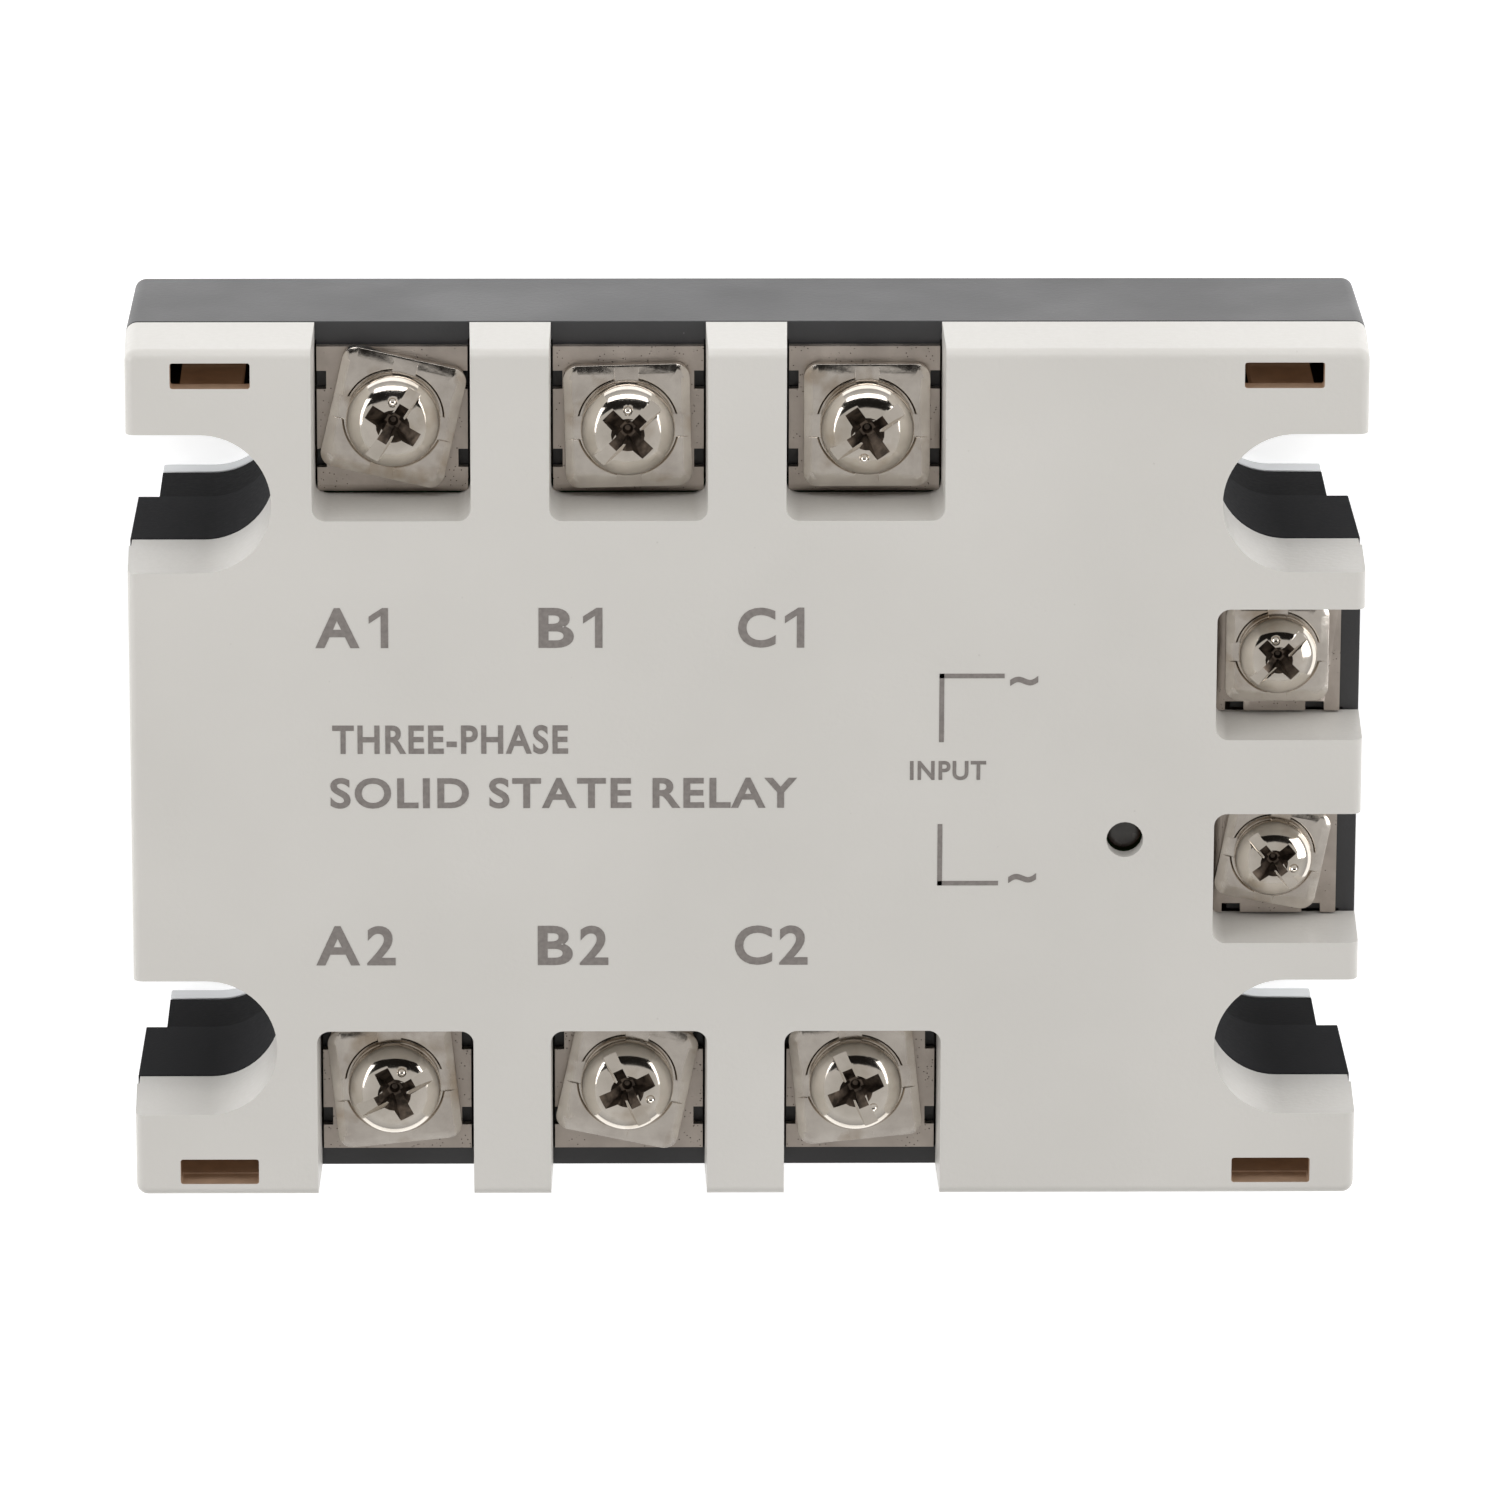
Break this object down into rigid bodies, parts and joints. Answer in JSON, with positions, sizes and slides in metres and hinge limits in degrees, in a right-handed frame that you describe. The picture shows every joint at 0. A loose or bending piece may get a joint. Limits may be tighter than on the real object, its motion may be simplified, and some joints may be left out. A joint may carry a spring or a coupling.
{
  "type": "solid state relay",
  "caption": "Flat three-phase solid state relay module: aluminium base, dark body, pale clip-on cover with recessed screw terminals, corner mounting slots and an indicator hole.",
  "frame": {"origin": "centre of the aluminium base's mounting face, at the bottom of the whole relay", "axes": "+X along the longest side towards the input terminals; +Y across, towards the line terminals A1, B1, C1; +Z out of the cover face, away from the heat sink"},
  "size_m": [0.104, 0.075, 0.033],
  "materials": {
    "aluminium": "milled, satin",
    "black_housing": "fine moulded texture",
    "grey_cover": "fine spark-eroded texture, satin",
    "plated_brass": "nickel plated, stamped",
    "zinc_steel": "zinc plated",
    "nickel_steel": "nickel plated, handled and slightly scratched",
    "white_ceramic": "fired alumina",
    "silicon": "passivated chip",
    "potting_resin": "cast resin",
    "green_laminate": "solder mask",
    "component_plastic": "moulded",
    "capacitor_case": "dipped case",
    "resistor_lacquer": "lacquer",
    "led_lens": "clear tinted lens, unlit"
  },
  "bodies": {
    "root": {"base_plate": "aluminium", "body_housing": "black_housing", "top_cover": "grey_cover", "terminal_strap_A1": "plated_brass", "terminal_strap_B1": "plated_brass", "terminal_strap_C1": "plated_brass", "terminal_strap_A2": "plated_brass", "terminal_strap_B2": "plated_brass", "terminal_strap_C2": "plated_brass", "terminal_strap_in1": "plated_brass", "terminal_strap_in2": "plated_brass", "square_nut_A1": "zinc_steel", "square_nut_B1": "zinc_steel", "square_nut_C1": "zinc_steel", "square_nut_A2": "zinc_steel", "square_nut_B2": "zinc_steel", "square_nut_C2": "zinc_steel", "square_nut_in1": "zinc_steel", "square_nut_in2": "zinc_steel", "ceramic_substrate_A": "white_ceramic", "ceramic_substrate_B": "white_ceramic", "ceramic_substrate_C": "white_ceramic", "thyristor_chip_A1": "silicon", "thyristor_chip_A2": "silicon", "thyristor_chip_B1": "silicon", "thyristor_chip_B2": "silicon", "thyristor_chip_C1": "silicon", "thyristor_chip_C2": "silicon", "potting_resin": "potting_resin", "control_board": "green_laminate", "optocoupler_A": "component_plastic", "optocoupler_B": "component_plastic", "optocoupler_C": "component_plastic", "snubber_capacitor_A": "capacitor_case", "snubber_capacitor_B": "capacitor_case", "snubber_capacitor_C": "capacitor_case", "snubber_resistor_A": "resistor_lacquer", "snubber_resistor_B": "resistor_lacquer", "snubber_resistor_C": "resistor_lacquer", "input_dropper_capacitor": "capacitor_case", "input_bridge_rectifier": "component_plastic", "input_resistor": "resistor_lacquer", "indicator_led": "led_lens"},
    "washer_A1": {"square_washer_A1": "nickel_steel"},
    "washer_B1": {"square_washer_B1": "nickel_steel"},
    "washer_C1": {"square_washer_C1": "nickel_steel"},
    "washer_A2": {"square_washer_A2": "nickel_steel"},
    "washer_B2": {"square_washer_B2": "nickel_steel"},
    "washer_C2": {"square_washer_C2": "nickel_steel"},
    "washer_in1": {"square_washer_in1": "nickel_steel"},
    "washer_in2": {"square_washer_in2": "nickel_steel"},
    "screw_A1": {"terminal_screw_A1": "nickel_steel"},
    "screw_B1": {"terminal_screw_B1": "nickel_steel"},
    "screw_C1": {"terminal_screw_C1": "nickel_steel"},
    "screw_A2": {"terminal_screw_A2": "nickel_steel"},
    "screw_B2": {"terminal_screw_B2": "nickel_steel"},
    "screw_C2": {"terminal_screw_C2": "nickel_steel"},
    "screw_in1": {"terminal_screw_in1": "nickel_steel"},
    "screw_in2": {"terminal_screw_in2": "nickel_steel"}
  },
  "joints": [
    {"name": "lift_A1", "type": "slide", "parent": "root", "child": "washer_A1", "axis": [0, 0, 1], "range_m": [0, 0.00315]},
    {"name": "turn_A1", "type": "hinge", "parent": "washer_A1", "child": "screw_A1", "pos_m": [-0.0296, 0.0297, 0.027], "axis": [0, 0, 1], "range_deg": [0, 1620.5]},
    {"name": "lift_B1", "type": "slide", "parent": "root", "child": "washer_B1", "axis": [0, 0, 1], "range_m": [0, 0.00315]},
    {"name": "turn_B1", "type": "hinge", "parent": "washer_B1", "child": "screw_B1", "pos_m": [-0.00995, 0.02895, 0.027], "axis": [0, 0, 1], "range_deg": [0, 1620.5]},
    {"name": "lift_C1", "type": "slide", "parent": "root", "child": "washer_C1", "axis": [0, 0, 1], "range_m": [0, 0.00315]},
    {"name": "turn_C1", "type": "hinge", "parent": "washer_C1", "child": "screw_C1", "pos_m": [0.0101, 0.029, 0.027], "axis": [0, 0, 1], "range_deg": [0, 1620.5]},
    {"name": "lift_A2", "type": "slide", "parent": "root", "child": "washer_A2", "axis": [0, 0, 1], "range_m": [0, 0.00315]},
    {"name": "turn_A2", "type": "hinge", "parent": "washer_A2", "child": "screw_A2", "pos_m": [-0.0299, -0.0295, 0.027], "axis": [0, 0, 1], "range_deg": [0, 1620.5]},
    {"name": "lift_B2", "type": "slide", "parent": "root", "child": "washer_B2", "axis": [0, 0, 1], "range_m": [0, 0.00315]},
    {"name": "turn_B2", "type": "hinge", "parent": "washer_B2", "child": "screw_B2", "pos_m": [-0.01005, -0.02925, 0.027], "axis": [0, 0, 1], "range_deg": [0, 1620.5]},
    {"name": "lift_C2", "type": "slide", "parent": "root", "child": "washer_C2", "axis": [0, 0, 1], "range_m": [0, 0.00315]},
    {"name": "turn_C2", "type": "hinge", "parent": "washer_C2", "child": "screw_C2", "pos_m": [0.00945, -0.02925, 0.027], "axis": [0, 0, 1], "range_deg": [0, 1620.5]},
    {"name": "lift_in1", "type": "slide", "parent": "root", "child": "washer_in1", "axis": [0, 0, 1], "range_m": [0, 0.0027]},
    {"name": "turn_in1", "type": "hinge", "parent": "washer_in1", "child": "screw_in1", "pos_m": [0.0449, 0.0091, 0.027], "axis": [0, 0, 1], "range_deg": [0, 1620.5]},
    {"name": "lift_in2", "type": "slide", "parent": "root", "child": "washer_in2", "axis": [0, 0, 1], "range_m": [0, 0.0027]},
    {"name": "turn_in2", "type": "hinge", "parent": "washer_in2", "child": "screw_in2", "pos_m": [0.0448, -0.0089, 0.027], "axis": [0, 0, 1], "range_deg": [0, 1620.5]}
  ],
  "couplings": [
    {"joint": "turn_A1", "follows": "lift_A1", "rad_per_m": 8976},
    {"joint": "turn_B1", "follows": "lift_B1", "rad_per_m": 8976},
    {"joint": "turn_C1", "follows": "lift_C1", "rad_per_m": 8976},
    {"joint": "turn_A2", "follows": "lift_A2", "rad_per_m": 8976},
    {"joint": "turn_B2", "follows": "lift_B2", "rad_per_m": 8976},
    {"joint": "turn_C2", "follows": "lift_C2", "rad_per_m": 8976},
    {"joint": "turn_in1", "follows": "lift_in1", "rad_per_m": 10472},
    {"joint": "turn_in2", "follows": "lift_in2", "rad_per_m": 10472}
  ]
}
